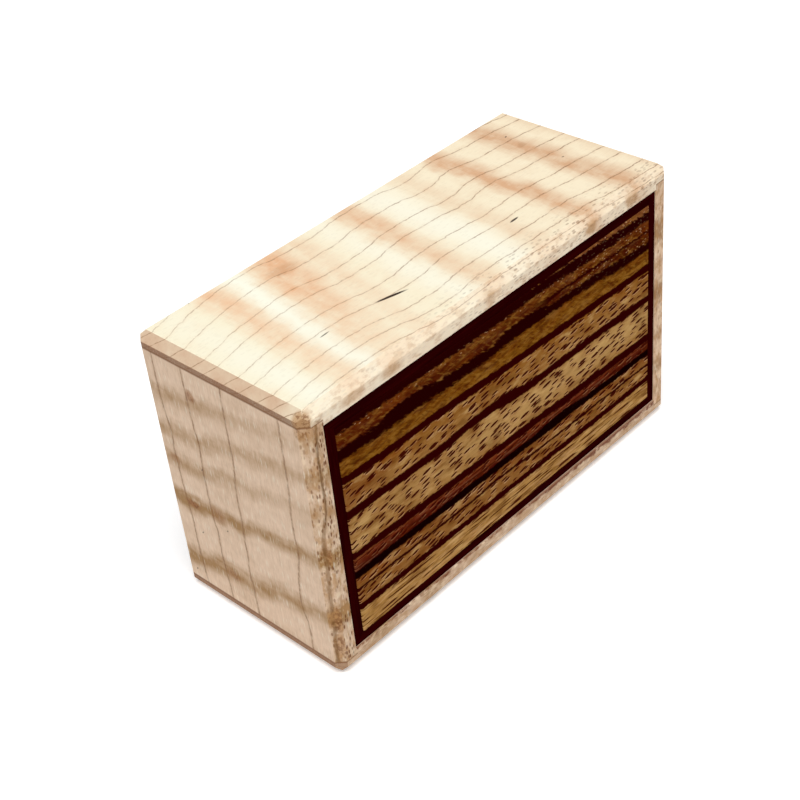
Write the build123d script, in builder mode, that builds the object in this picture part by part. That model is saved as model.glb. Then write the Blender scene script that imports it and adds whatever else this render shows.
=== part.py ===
from build123d import *

import os

# A small trick box: a maple sleeve that hides a drawer behind a zebrawood face.
# X runs along the box, Y from the front (-) to the rear (+) and Z up.
# The origin is the middle of the underside. All sizes are in millimetres.

# Maple case
case_length = 101.6
case_depth = 42.9
case_height = 60.5
board = 4.4
lip = 2.95
edge_chamfer = 1.7
edge_easing = 0.25
mouth_arris = 0.2

# Zebrawood panels and the bloodwood strips round them, the same on front and rear
panel_margin = 2.3
panel_thickness = 2.4
border_thickness = 2.15
panel_arris = 0.15
rear_board_thickness = 3.0

# Drawer box
drawer_gap = 0.15
drawer_wall = 3.0
drawer_floor = 2.8
front_housing = 1.8
back_housing = 1.4
back_drop = 3.0
rim_arris = 0.4

# Stop that keeps the drawer from leaving the case
peg_diameter = 3.0
peg_socket = 3.0
peg_rise = 1.7
peg_arris = 0.3
groove_clearance = 0.4
groove_front_web = 1.1
groove_rear_web = 2.0

# Tilt lock: a loose steel pin in a cross bore behind the drawer
pin_diameter = 4.0
pin_length = 18.0
pin_travel = 9.0
pin_height = 7.6
pin_arris = 0.5
bore_clearance = 0.07
bore_end_gap = 0.35
bore_wall = 1.3
plug_clearance = 0.02
block_length = 60.0
block_height = 14.0
block_bevel = 1.2
block_gap = 0.35

# Brass hook on the back of the drawer, which the pin drops behind
hook_thickness = 2.4
hook_clearance = 0.4
hook_arm = 2.4
hook_lip = 1.6
hook_bite = 1.4
hook_root_drop = 2.6
hook_tenon = 2.2
hook_fillet = 0.8
hook_lead = 0.4

# Places that follow from the sizes above
half_length = case_length / 2
mouth_half = half_length - board
mouth_low = board
mouth_high = case_height - board
mouth_middle = case_height / 2
mouth_height = mouth_high - mouth_low
rabbet = board - lip

front_face = -case_depth / 2
drawer_front_y = front_face + panel_thickness
rear_board_y = case_depth / 2 - panel_thickness - rear_board_thickness

pin_radius = pin_diameter / 2
bore_radius = pin_radius + bore_clearance
block_depth = bore_wall + bore_radius + pin_radius + hook_clearance + hook_lip + hook_clearance
block_y = rear_board_y - block_depth
drawer_rear_y = block_y - block_gap

drawer_half = mouth_half - drawer_gap
drawer_low = mouth_low + drawer_gap
drawer_high = mouth_high - drawer_gap
floor_top = drawer_low + drawer_floor
back_high = drawer_high - back_drop

pin_y = block_y + bore_wall + bore_radius
pin_z = board + pin_height
slot_half = hook_thickness / 2 + hook_clearance
pin_right = -slot_half - hook_clearance
pin_left = pin_right - pin_length
bore_left = pin_left - bore_end_gap
bore_right = pin_right + pin_travel + bore_end_gap

hook_under = pin_z + pin_radius + hook_clearance
hook_top = hook_under + hook_arm
hook_root_low = hook_under - hook_root_drop
hook_root_y = pin_y - pin_radius - hook_clearance
hook_lip_y = pin_y + pin_radius + hook_clearance
hook_tip_y = hook_lip_y + hook_lip
hook_tip_z = pin_z - hook_bite
slot_floor = hook_tip_z - hook_clearance

groove_width = peg_diameter + 2 * groove_clearance
groove_depth = peg_rise - drawer_gap + groove_clearance
groove_start = drawer_front_y + groove_front_web
groove_end = drawer_rear_y - groove_rear_web
peg_y = groove_start + groove_width / 2
drawer_travel = groove_end - groove_start - groove_width


def upright(y):
    """The plane across the box at depth y: its own y is up, and it faces the front."""
    return Plane.XZ.offset(-y)


def finish(piece, label):
    """Name a finished piece and write it."""
    piece.part.label = label
    export_step(piece.part, f"parts/{label}.step")


def chamfered_case():
    """The whole case as one block, with the edges that are planed after the glue-up."""
    with BuildPart() as block:
        with BuildSketch() as outline:
            Rectangle(case_length, case_depth)
            chamfer(outline.vertices(), edge_chamfer)
        extrude(amount=case_height)
        with BuildSketch(upright(front_face)) as outline:
            with Locations((0, mouth_middle)):
                Rectangle(case_length, case_height)
            chamfer(outline.vertices(), edge_chamfer)
        extrude(amount=-case_depth, mode=Mode.INTERSECT)
        with BuildSketch(Plane.YZ.offset(-half_length)) as outline:
            with Locations((0, mouth_middle)):
                Rectangle(case_depth, case_height)
            chamfer(outline.vertices(), edge_chamfer)
        extrude(amount=case_length, mode=Mode.INTERSECT)
        fillet(block.edges(), edge_easing)
        for side in (-1, 1):
            mouth = Plane((0, side * case_depth / 2, mouth_middle), x_dir=(1, 0, 0), z_dir=(0, -side, 0))
            with BuildSketch(mouth):
                Rectangle(2 * (mouth_half + mouth_arris), mouth_height + 2 * mouth_arris)
            extrude(amount=mouth_arris, taper=45, mode=Mode.SUBTRACT)
    return block.part


def rear_groove_cut():
    """The groove round the inside of the case that holds the rear board."""
    with BuildPart() as groove:
        with BuildSketch(upright(rear_board_y)):
            with Locations((0, mouth_middle)):
                Rectangle(2 * (mouth_half + rabbet), mouth_height + 2 * rabbet)
        extrude(amount=-rear_board_thickness)
    return groove.part


def bottom_board(case_block, groove):
    """Long board, rabbeted over both uprights, with a blind socket for the stop peg."""
    with BuildPart() as piece:
        with BuildSketch(upright(front_face)):
            with BuildLine():
                Polyline(
                    (-half_length, 0),
                    (half_length, 0),
                    (half_length, lip),
                    (mouth_half, lip),
                    (mouth_half, board),
                    (-mouth_half, board),
                    (-mouth_half, lip),
                    (-half_length, lip),
                    close=True,
                )
            make_face()
        extrude(amount=-case_depth)
        add(groove, mode=Mode.SUBTRACT)
        add(case_block, mode=Mode.INTERSECT)
        with BuildSketch(Plane.XY.offset(board)):
            with Locations((0, peg_y)):
                Circle(peg_diameter / 2)
        extrude(amount=-peg_socket, mode=Mode.SUBTRACT)
    finish(piece, "bottom_board")


def top_board(case_block, groove):
    """Long board, the bottom board's mirror image without the socket."""
    with BuildPart() as piece:
        with BuildSketch(upright(front_face)):
            with BuildLine():
                Polyline(
                    (-half_length, case_height),
                    (half_length, case_height),
                    (half_length, case_height - lip),
                    (mouth_half, case_height - lip),
                    (mouth_half, mouth_high),
                    (-mouth_half, mouth_high),
                    (-mouth_half, case_height - lip),
                    (-half_length, case_height - lip),
                    close=True,
                )
            make_face()
        extrude(amount=-case_depth)
        add(groove, mode=Mode.SUBTRACT)
        add(case_block, mode=Mode.INTERSECT)
    finish(piece, "top_board")


def end_board(case_block, groove, side, label):
    """Upright board at one end, standing in the rabbets of the long boards."""
    with BuildPart() as piece:
        with BuildSketch(upright(front_face)):
            with Locations((side * (mouth_half + board / 2), mouth_middle)):
                Rectangle(board, case_height - 2 * lip)
        extrude(amount=-case_depth)
        add(groove, mode=Mode.SUBTRACT)
        add(case_block, mode=Mode.INTERSECT)
    finish(piece, label)


def rear_board(groove):
    """Thin maple board held in the groove, which carries the rear panel and the lock block."""
    with BuildPart() as piece:
        add(groove)
    finish(piece, "rear_board")


def zebrawood_panel(side, label):
    """Face panel, flush with the case; side is -1 for the front and 1 for the rear."""
    with BuildPart() as piece:
        with BuildSketch(upright(side * case_depth / 2)):
            with Locations((0, mouth_middle)):
                Rectangle(2 * (mouth_half - panel_margin), mouth_height - 2 * panel_margin)
        extrude(amount=side * panel_thickness)
        outer_face = piece.faces().sort_by(Axis.Y)[-1 if side > 0 else 0]
        chamfer(outer_face.edges(), panel_arris)
    finish(piece, label)


def border_strips(side, gap, prefix):
    """Four bloodwood strips, mitred at the corners and set back from the panel's face."""
    outer_x = mouth_half - gap
    outer_low = mouth_low + gap
    outer_high = mouth_high - gap
    inner_x = mouth_half - panel_margin
    inner_low = mouth_low + panel_margin
    inner_high = mouth_high - panel_margin
    outlines = {
        "top": ((-outer_x, outer_high), (outer_x, outer_high), (inner_x, inner_high), (-inner_x, inner_high)),
        "bottom": ((-outer_x, outer_low), (outer_x, outer_low), (inner_x, inner_low), (-inner_x, inner_low)),
        "left": ((-outer_x, outer_low), (-outer_x, outer_high), (-inner_x, inner_high), (-inner_x, inner_low)),
        "right": ((outer_x, outer_low), (outer_x, outer_high), (inner_x, inner_high), (inner_x, inner_low)),
    }
    back_of_strips = side * (case_depth / 2 - panel_thickness)
    for name, outline in outlines.items():
        with BuildPart() as piece:
            with BuildSketch(upright(back_of_strips)):
                with BuildLine():
                    Polyline(*outline, close=True)
                make_face()
            extrude(amount=-side * border_thickness)
        finish(piece, f"{prefix}_border_{name}")


def drawer_front_board():
    """Maple board behind the front panel, housed at both ends for the drawer sides."""
    housing_x = drawer_half - drawer_wall
    rear_y = drawer_front_y + drawer_wall
    with BuildPart() as piece:
        with BuildSketch(Plane.XY.offset(floor_top)):
            with BuildLine():
                Polyline(
                    (-drawer_half, drawer_front_y),
                    (drawer_half, drawer_front_y),
                    (drawer_half, rear_y - front_housing),
                    (housing_x, rear_y - front_housing),
                    (housing_x, rear_y),
                    (-housing_x, rear_y),
                    (-housing_x, rear_y - front_housing),
                    (-drawer_half, rear_y - front_housing),
                    close=True,
                )
            make_face()
        extrude(amount=drawer_high - floor_top)
    finish(piece, "drawer_front_board")


def drawer_side(side, label):
    """Drawer side, with a housing at its rear end for the drawer back."""
    outer_x = side * drawer_half
    inner_x = side * (drawer_half - drawer_wall)
    housing_x = side * (drawer_half - drawer_wall + back_housing)
    start_y = drawer_front_y + drawer_wall - front_housing
    housing_y = drawer_rear_y - drawer_wall
    with BuildPart() as piece:
        with BuildSketch(Plane.XY.offset(floor_top)):
            with BuildLine():
                Polyline(
                    (outer_x, start_y),
                    (outer_x, drawer_rear_y),
                    (housing_x, drawer_rear_y),
                    (housing_x, housing_y),
                    (inner_x, housing_y),
                    (inner_x, start_y),
                    close=True,
                )
            make_face()
        extrude(amount=drawer_high - floor_top)
        rim = piece.faces().sort_by(Axis.Z)[-1].edges().filter_by(Axis.Y)
        chamfer(rim.sort_by(Axis.X)[0 if side > 0 else -1], rim_arris)
    finish(piece, label)


def drawer_back():
    """Drawer back, lower than the sides, with a blind mortise for the brass hook."""
    housing_x = drawer_half - drawer_wall + back_housing
    with BuildPart() as piece:
        with BuildSketch(Plane.XY.offset(floor_top)):
            with Locations((0, drawer_rear_y - drawer_wall / 2)):
                Rectangle(2 * housing_x, drawer_wall)
        extrude(amount=back_high - floor_top)
        rim = piece.faces().sort_by(Axis.Z)[-1].edges().filter_by(Axis.X)
        chamfer(rim, rim_arris)
        with BuildSketch(upright(drawer_rear_y)):
            with Locations((0, (hook_root_low + hook_top) / 2)):
                Rectangle(hook_thickness, hook_top - hook_root_low)
        extrude(amount=hook_tenon, mode=Mode.SUBTRACT)
    finish(piece, "drawer_back")


def drawer_bottom():
    """Floor glued under the drawer, with the stopped groove that the peg runs in."""
    with BuildPart() as piece:
        with BuildSketch(Plane.XY.offset(drawer_low)):
            with Locations((0, (drawer_front_y + drawer_rear_y) / 2)):
                Rectangle(2 * drawer_half, drawer_rear_y - drawer_front_y)
        extrude(amount=drawer_floor)
        with BuildSketch(Plane.XY.offset(drawer_low)):
            with Locations((0, (groove_start + groove_end) / 2)):
                SlotOverall(groove_end - groove_start, groove_width, rotation=90)
        extrude(amount=groove_depth, mode=Mode.SUBTRACT)
    finish(piece, "drawer_bottom")


def drawer_hook():
    """Brass hook, tenoned into the drawer back, that reaches over the pin and down behind it."""
    with BuildPart() as piece:
        with BuildSketch(Plane.YZ):
            with BuildLine():
                Polyline(
                    (drawer_rear_y - hook_tenon, hook_root_low),
                    (drawer_rear_y - hook_tenon, hook_top),
                    (hook_tip_y, hook_top),
                    (hook_tip_y, hook_tip_z),
                    (hook_lip_y, hook_tip_z),
                    (hook_lip_y, hook_under),
                    (hook_root_y, hook_under),
                    (hook_root_y, hook_root_low),
                    close=True,
                )
            make_face()
        extrude(amount=hook_thickness / 2, both=True)
        long_edges = piece.edges().filter_by(Axis.X)
        inner_corners = long_edges.filter_by_position(Axis.Z, hook_under, hook_under)
        fillet(inner_corners, hook_fillet)
        lower_tip = piece.edges().filter_by(Axis.X).filter_by_position(Axis.Z, hook_tip_z, hook_tip_z)
        chamfer(lower_tip, hook_lead)
    finish(piece, "drawer_hook")


def lock_block():
    """Maple block glued behind the drawer: a blind cross bore for the pin, and a sawn slot."""
    middle_y = block_y + block_depth / 2
    with BuildPart() as piece:
        with BuildSketch(Plane.XY.offset(board)):
            with Locations((0, middle_y)):
                Rectangle(block_length, block_depth)
        extrude(amount=block_height)
        top_edges = piece.faces().sort_by(Axis.Z)[-1].edges()
        chamfer(top_edges.sort_by(Axis.Y)[0], block_bevel)
        with BuildSketch(Plane.YZ.offset(-block_length / 2)):
            with Locations((pin_y, pin_z)):
                Circle(bore_radius)
        extrude(amount=bore_right + block_length / 2, mode=Mode.SUBTRACT)
        with BuildSketch(Plane.XY.offset(board + block_height)):
            with Locations((0, middle_y)):
                Rectangle(2 * slot_half, block_depth)
        extrude(amount=slot_floor - board - block_height, mode=Mode.SUBTRACT)
    finish(piece, "lock_block")


def bore_plug():
    """Dowel that closes the mouth of the cross bore."""
    with BuildPart() as piece:
        with BuildSketch(Plane.YZ.offset(-block_length / 2)):
            with Locations((pin_y, pin_z)):
                Circle(bore_radius - plug_clearance)
        extrude(amount=bore_left + block_length / 2)
    finish(piece, "bore_plug")


def lock_pin():
    """Loose steel pin, at rest at the plugged end of its bore, clear of the slot."""
    with BuildPart() as piece:
        with BuildSketch(Plane.YZ.offset(pin_left)):
            with Locations((pin_y, pin_z)):
                Circle(pin_radius)
        extrude(amount=pin_length)
        chamfer(piece.edges().filter_by(GeomType.CIRCLE), pin_arris)
    finish(piece, "lock_pin")


def stop_peg():
    """Hardwood peg in the bottom board, standing up into the drawer's groove."""
    with BuildPart() as piece:
        with BuildSketch(Plane.XY.offset(board - peg_socket)):
            with Locations((0, peg_y)):
                Circle(peg_diameter / 2)
        extrude(amount=peg_socket + peg_rise)
        chamfer(piece.faces().sort_by(Axis.Z)[-1].edges(), peg_arris)
    finish(piece, "stop_peg")


os.makedirs("parts", exist_ok=True)

case_block = chamfered_case()
groove = rear_groove_cut()

bottom_board(case_block, groove)
top_board(case_block, groove)
end_board(case_block, groove, -1, "left_end_board")
end_board(case_block, groove, 1, "right_end_board")
rear_board(groove)
zebrawood_panel(1, "rear_panel")
border_strips(1, 0, "rear")
lock_block()
bore_plug()
stop_peg()
lock_pin()

zebrawood_panel(-1, "front_panel")
border_strips(-1, drawer_gap, "front")
drawer_front_board()
drawer_side(-1, "drawer_left_side")
drawer_side(1, "drawer_right_side")
drawer_back()
drawer_bottom()
drawer_hook()

print(f"drawer travel {drawer_travel:.2f} mm, pin travel {pin_travel:.2f} mm")
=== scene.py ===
# %% [markdown]
# # A puzzle box in curly maple, zebrawood and bloodwood
#
# The box is a sleeve of four curly maple boards. A striped zebrawood panel sits in its mouth inside a
# narrow border of bloodwood, and that panel is the face of a hidden drawer. All the pieces are already
# solid shapes in the frame, cut to their real sizes, so this script does what a finisher does: it gives
# each board its wood.
#
# Wood could be painted on as a picture, one picture for each face. Then the lines on a face would not meet
# the lines on its edge. Here every wood is a solid pattern, worked out from the place of each point inside
# the board, so a chamfer cuts through the growth lines as a plane does.

# %% Load the frame
import functools
import math

import bpy
from mathutils import Matrix, Vector


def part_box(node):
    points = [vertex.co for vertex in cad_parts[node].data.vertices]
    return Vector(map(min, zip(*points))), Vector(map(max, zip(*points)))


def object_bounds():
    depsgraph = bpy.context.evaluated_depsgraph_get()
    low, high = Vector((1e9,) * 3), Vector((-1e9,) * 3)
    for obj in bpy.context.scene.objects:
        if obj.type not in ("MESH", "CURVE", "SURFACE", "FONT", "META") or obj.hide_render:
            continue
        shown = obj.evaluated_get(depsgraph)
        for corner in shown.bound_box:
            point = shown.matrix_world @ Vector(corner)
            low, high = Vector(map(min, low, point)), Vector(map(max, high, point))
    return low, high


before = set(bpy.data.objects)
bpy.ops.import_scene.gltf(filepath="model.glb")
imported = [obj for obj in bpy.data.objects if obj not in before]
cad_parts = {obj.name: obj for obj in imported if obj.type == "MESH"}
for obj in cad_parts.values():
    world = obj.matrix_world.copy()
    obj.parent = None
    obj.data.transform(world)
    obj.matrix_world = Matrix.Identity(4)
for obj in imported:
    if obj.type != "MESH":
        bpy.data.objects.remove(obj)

cad_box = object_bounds()
box_low = Vector(cad_box[0])
box_high = Vector(cad_box[1])
print("box, mm:", [round(1000 * side, 2) for side in box_high - box_low])

# %% [markdown]
# ## The camera
#
# The box is seen from its front left, from above, and a little tilted in the picture. The camera is aimed
# at a point in the box and then rolled about its own line of sight.

# %% Camera
CAMERA_PLACE = Vector((-0.17611, -0.17715, 0.21092))
CAMERA_AIM = Vector((-0.00838, 0.0, 0.02856))
CAMERA_LENS = 70.06
CAMERA_ROLL = math.radians(-6.34)

bpy.ops.object.camera_add(location=CAMERA_PLACE)
camera = bpy.context.object
camera.name = "Camera"
camera.data.sensor_width = 36.0
camera.data.lens = CAMERA_LENS
camera.data.clip_start = 0.01
camera.data.clip_end = 50.0
aimed = (CAMERA_AIM - CAMERA_PLACE).to_track_quat("-Z", "Y").to_matrix()
camera.rotation_euler = (aimed @ Matrix.Rotation(CAMERA_ROLL, 3, "Z")).to_euler()
bpy.context.scene.camera = camera
print("camera distance, mm:", round(1000 * (CAMERA_AIM - CAMERA_PLACE).length))

# %% [markdown]
# ## Shader maths as plain expressions
#
# A procedural wood is arithmetic on the place of a point: how far it is from a growth line, how far along
# the board a curl band lies. Written node by node that arithmetic is hard to read. The small class below
# wraps one output socket of a node, so that `1 - line` or `across + 0.5 * depth` adds the Math node that
# does it. A term that is a vector makes it a Vector Math node. Every other node comes from `Nodes.node`,
# which takes the node's type, its settings and what goes into its sockets. The four operators are made in a
# loop, each with its reflected form.

# %% Signals and finishes
class Signal:
    """One output socket. An expression of signals and numbers adds the nodes that work it out."""

    def __init__(self, owner, socket):
        self.owner = owner
        self.socket = socket
        self.is_vector = socket.type == "VECTOR"

    def math(self, operation, *terms):
        is_vector = any(isinstance(t, tuple) or getattr(t, "is_vector", False) for t in terms)
        kind = "ShaderNodeVectorMath" if is_vector else "ShaderNodeMath"
        if is_vector:
            terms = [(t, t, t) if isinstance(t, (int, float)) else t for t in terms]
        return self.owner.node(kind, {"operation": operation}, dict(enumerate(terms)))

    def __abs__(self):
        return self.math("ABSOLUTE", self)

    def most(self, other):
        """The larger of two signals."""
        return self.math("MAXIMUM", self, other)

    def least(self, other):
        """The smaller of two signals."""
        return self.math("MINIMUM", self, other)

    def rise(self, start, end):
        """0 below start, 1 above end and smooth between them. With start above end it falls instead."""
        settings = {"interpolation_type": "SMOOTHSTEP"}
        return self.owner.node("ShaderNodeMapRange", settings, {0: self, 1: start, 2: end, 3: 0.0, 4: 1.0})


for sign, operation in {"add": "ADD", "sub": "SUBTRACT", "mul": "MULTIPLY", "truediv": "DIVIDE"}.items():
    setattr(Signal, f"__{sign}__", lambda self, other, does=operation: self.math(does, self, other))
    setattr(Signal, f"__r{sign}__", lambda self, other, does=operation: self.math(does, other, self))


class Nodes:
    """The nodes of a material or a world, which starts empty."""

    def __init__(self, owner):
        owner.use_nodes = True
        self.tree = owner.node_tree
        self.tree.nodes.clear()

    def node(self, kind, settings=None, inputs=None, output=0):
        """Adds a node. A ramp's stops and a curve's points are given with the settings."""
        made = self.tree.nodes.new(kind)
        for key, value in (settings or {}).items():
            if key == "stops":
                ramp = made.color_ramp.elements
                while len(ramp) < len(value):
                    ramp.new(1.0)
                for stop, (position, colour) in zip(ramp, value):
                    stop.position = position
                    stop.color = colour
            elif key == "points":
                curve = made.mapping.curves[0].points
                while len(curve) < len(value):
                    curve.new(1.0, 1.0)
                for point, spot in zip(curve, value):
                    point.location = spot
                made.mapping.update()
            else:
                setattr(made, key, value)
        for key, value in (inputs or {}).items():
            if isinstance(value, Signal):
                self.tree.links.new(value.socket, made.inputs[key])
            else:
                made.inputs[key].default_value = value
        return Signal(self, made.outputs[output]) if made.outputs else made


class Finish(Nodes):
    """A material, with the place in millimetres and the facing of each point of the piece."""

    def __init__(self, name):
        self.material = bpy.data.materials.new(name)
        super().__init__(self.material)
        self.place = self.node("ShaderNodeTexCoord", output="Object") * 1000.0
        self.facing = self.node("ShaderNodeTexCoord", output="Normal")

    def axes(self, vector):
        """The three numbers of a vector."""
        return [self.node("ShaderNodeSeparateXYZ", None, {0: vector}, n) for n in range(3)]

    def joined(self, x, y, z):
        """A vector from three numbers."""
        return self.node("ShaderNodeCombineXYZ", None, {0: x, 1: y, 2: z})

    def noise(self, at, detail=2.0, roughness=0.5):
        """Soft noise about a half, at a place that is already scaled to the size of its patches."""
        inputs = {"Vector": self.joined(*at), "Scale": 1.0, "Detail": detail, "Roughness": roughness}
        return self.node("ShaderNodeTexNoise", None, inputs)

    def scatter(self, at, channel=0, randomness=1.0, dimensions="3D"):
        """Scattered points, one for each unit of space: how far the nearest is, and its random number."""
        inputs = {"Vector": self.joined(*at), "Scale": 1.0, "Randomness": randomness}
        made = ("ShaderNodeTexVoronoi", {"voronoi_dimensions": dimensions}, inputs)
        return self.node(*made), self.axes(self.node(*made, "Color"))[channel]

    def mix(self, share, first, second):
        """A colour that goes from first to second as share goes from 0 to 1."""
        return self.node("ShaderNodeMix", {"data_type": "RGBA"}, {0: share, 6: first, 7: second}, 2)

    def surface(self, colour, roughness, relief=None, depth=0.02, **constants):
        """The shader. Colour, roughness and relief may vary, and depth is in millimetres."""
        inputs = {"Base Color": colour, "Roughness": roughness}
        inputs.update({name.replace("_", " "): value for name, value in constants.items()})
        if relief is not None:
            bump = {"Strength": 1.0, "Distance": depth / 1000.0, "Height": relief}
            inputs["Normal"] = self.node("ShaderNodeBump", None, bump)
        shader = self.node("ShaderNodeBsdfPrincipled", None, inputs)
        self.node("ShaderNodeOutputMaterial", None, {"Surface": shader})
        return self.material


def shade(red, green, blue):
    """A colour as it is read from a screen, 0 to 255, turned into the plain light that a shader takes."""
    parts = [value / 255.0 for value in (red, green, blue)]
    plain = [v / 12.92 if v <= 0.04045 else ((v + 0.055) / 1.055) ** 2.4 for v in parts]
    return (*plain, 1.0)


print("a maple cream in plain light:", [round(v, 3) for v in shade(240, 222, 192)[:3]])

# %% [markdown]
# ## Light and floor
#
# The box stands in even light on a white table. A wide sun and a plain sky light it at the same level
# everywhere, so only a thin soft shadow is left. The sky is seen as white by the camera and in gloss, and
# it lights the wood at a lower level. The table glows a little for the camera alone, which clears the faint
# outer part of the shadow.

# %% Sun, sky and table
SKY_LEVEL = 0.28
SKY_WHITE = (1.0, 1.0, 1.0, 1.0)
SUN_LEVEL = 0.79
SUN_FROM = Vector((-0.24, -0.28, 1.0))
SUN_WIDTH = math.radians(40.0)
TABLE_SIZE = 6.0
TABLE_WHITE = (0.90, 0.90, 0.90, 1.0)
TABLE_LIFT = 0.28

bpy.ops.object.light_add(type="SUN", location=SUN_FROM)
sun = bpy.context.object
sun.name = "Sun"
sun.data.energy = SUN_LEVEL * math.pi
sun.data.angle = SUN_WIDTH
sun.rotation_euler = SUN_FROM.to_track_quat("Z", "Y").to_euler()

world = bpy.data.worlds.new("Sky")
bpy.context.scene.world = world
sky = Nodes(world)
ray_names = ("Is Camera Ray", "Is Glossy Ray", "Is Transmission Ray")
by_eye, by_gloss, through_glass = [sky.node("ShaderNodeLightPath", output=name) for name in ray_names]
seen = by_eye.most(by_gloss).most(through_glass)
sky_strength = seen * (1.0 - SKY_LEVEL) + SKY_LEVEL
glow = sky.node("ShaderNodeBackground", None, {"Color": SKY_WHITE, "Strength": sky_strength})
sky.node("ShaderNodeOutputWorld", None, {"Surface": glow})

bpy.ops.object.select_all(action="DESELECT")
bpy.ops.mesh.primitive_plane_add(size=TABLE_SIZE)
table = bpy.context.object
table.name = "Table"
table_paint = Finish("Table_white")
table_ray = table_paint.node("ShaderNodeLightPath", output="Is Camera Ray")
table_matt = table_paint.node("ShaderNodeBsdfDiffuse", None, {"Color": TABLE_WHITE})
table_glow = table_paint.node("ShaderNodeEmission", None, {"Strength": table_ray * TABLE_LIFT})
table_both = table_paint.node("ShaderNodeAddShader", None, {0: table_matt, 1: table_glow})
table_paint.node("ShaderNodeOutputMaterial", None, {"Surface": table_both})
table.data.materials.append(table_paint.material)
bpy.context.scene.view_settings.view_transform = "Standard"
print("level on a flat top:", round(SKY_LEVEL + SUN_LEVEL * SUN_FROM.normalized().z, 3))

# %% [markdown]
# ## Curly maple
#
# Three things are seen in a curly maple board. Thin brown growth lines run along it and all wave together,
# because they follow one tree. Across them lie soft tan bands: the curl, where the fibres dive into the
# board and swallow the light. And rays, little upright sheets in the wood, show as fine dashes on the face
# of a board and as brown flecks on its edge.
#
# Noise alone would give a wood like this but never this wood. So each board gets a short list of its own
# lines and bands, and noise only roughens them.

# %% Maple colours
# pale and tan wood where the grain starts, then pale and tan wood where it ends
TOP_TONES = (shade(251, 243, 215), shade(242, 191, 148), shade(249, 233, 202), shade(211, 168, 130))
END_TONES = (shade(237, 208, 181), shade(166, 126, 78)) * 2
RIGHT_TONES = (shade(238, 204, 171), shade(172, 130, 88)) * 2
MAPLE_LIGHT = shade(255, 254, 236)
MAPLE_BLUSH = shade(255, 241, 216)
MAPLE_CREAM = shade(255, 234, 198)
MAPLE_END = shade(210, 176, 146)
MAPLE_SMUDGE = shade(184, 136, 84)
MAPLE_UMBER = shade(158, 104, 54)
MAPLE_BROWN = shade(128, 84, 48)
MAPLE_BAND = shade(122, 68, 20)
MAPLE_STREAK = shade(116, 78, 32)
MAPLE_SHADE = shade(112, 54, 22)
MAPLE_FLECK = shade(112, 60, 12)
MAPLE_CORE = shade(108, 56, 16)
MAPLE_DARK = shade(44, 22, 4)
print("maple tones:", [round(v, 2) for v in TOP_TONES[0][:3]], [round(v, 2) for v in END_TONES[0][:3]])

# %% [markdown]
# Lines, bands and marks are each drawn from a row of numbers. A smooth step turns the distance from them
# into a strength with a soft edge, and where two meet the stronger one wins, so nothing gets darker by
# being drawn twice.

# %% Drawing by numbers
GRAIN_SLOPE = 1.9
SWEEP_SPAN = 10.0


def figure_lines(ring, share, lines):
    """How far the nearest growth line is, in millimetres."""
    gaps = [abs(ring - (share * (end - start) + start)) for start, end in lines]
    return functools.reduce(Signal.least, gaps)


def figure_bands(along, across, width, bands):
    """How strong the curl is at a point, from 0 to 1."""
    share = (across / width).rise(0.0, 1.0)
    found = []
    for rear, front, reach, rear_strength, front_strength in bands:
        centre = share * (front - rear) + rear
        strength = share * (front_strength - rear_strength) + rear_strength
        found.append(abs(along - centre).rise(2.0 * reach, 0.0) * strength)
    return functools.reduce(Signal.most, found)


def figure_marks(along, across, marks):
    """How strong the stains or the mineral streaks are at a point. Each is an ellipse."""
    found = []
    for a, c, half_length, half_width, turn, strength, edge in marks:
        cosine = math.cos(math.radians(turn))
        sine = math.sin(math.radians(turn))
        lengthwise = ((along - a) * cosine + (across - c) * sine) / half_length
        sideways = ((across - c) * cosine - (along - a) * sine) / half_width
        found.append((lengthwise * lengthwise + sideways * sideways).rise(1.0, 1.0 - edge) * strength)
    return functools.reduce(Signal.most, found)


print("lean of the growth lines, degrees:", round(math.degrees(math.atan(GRAIN_SLOPE))))

# %% [markdown]
# ### A board and its noises
#
# Every board reads its points along its grain, across it and into the wood, so one finish fits a board that
# lies and one that stands. Of its noises, tremble and ragged shake the lines and bands, mottle and blotch
# cloud them, fibre is the fine texture, speckle makes grains of dirt, and broken opens gaps in a line.

# %% Board
END_TURN = (0.45, 0.75)
EDGE_TURN = (0.3, 0.9)


class Board(Finish):
    """A maple board. grain gives each of its three directions as an axis, a sign and a start."""

    def __init__(self, name, grain, size, figure, seed):
        super().__init__(name)
        spots = self.axes(self.place)
        faces = self.axes(self.facing)
        along, across, inward = [spots[axis] * sign + start for axis, sign, start in grain]
        self.spot = along, across, inward
        self.end_face, self.edge_face = [abs(faces[grain[n][0]]) for n in (0, 1)]
        self.on_end = self.end_face.rise(*END_TURN)
        self.on_edge = self.edge_face.rise(*EDGE_TURN)
        length, self.width = size
        self.share = along / length
        self.figure, self.seed = figure, seed
        self.tremble = self.noise((along / 2.6, across / 4.0, inward / 4.0 + seed), 3.0, 0.6) - 0.5
        self.ragged = self.noise((along / 1.8, across / 5.0, inward / 5.0 + seed), 4.0, 0.6) - 0.5
        self.mottle = self.noise((along / 3.0 + seed, across / 4.5, inward / 4.5), 3.0, 0.55) - 0.5
        self.blotch = self.noise((along / 2.2 + seed, across / 1.2, inward / 1.2), 4.0, 0.6)
        self.fibre = self.noise((along / 4.0, across * 3.6, inward * 3.6 + seed), 3.0, 0.6)
        self.speckle = self.noise((along / 0.9, across / 0.5, inward / 0.55 + seed), 3.0, 0.6)
        self.broken = self.noise((along / 1.8, across * 1.2, inward * 1.2 + seed), 4.0, 0.65)


print("a face begins to count as an edge at", EDGE_TURN[0], "and as an end at", END_TURN[0])
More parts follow.
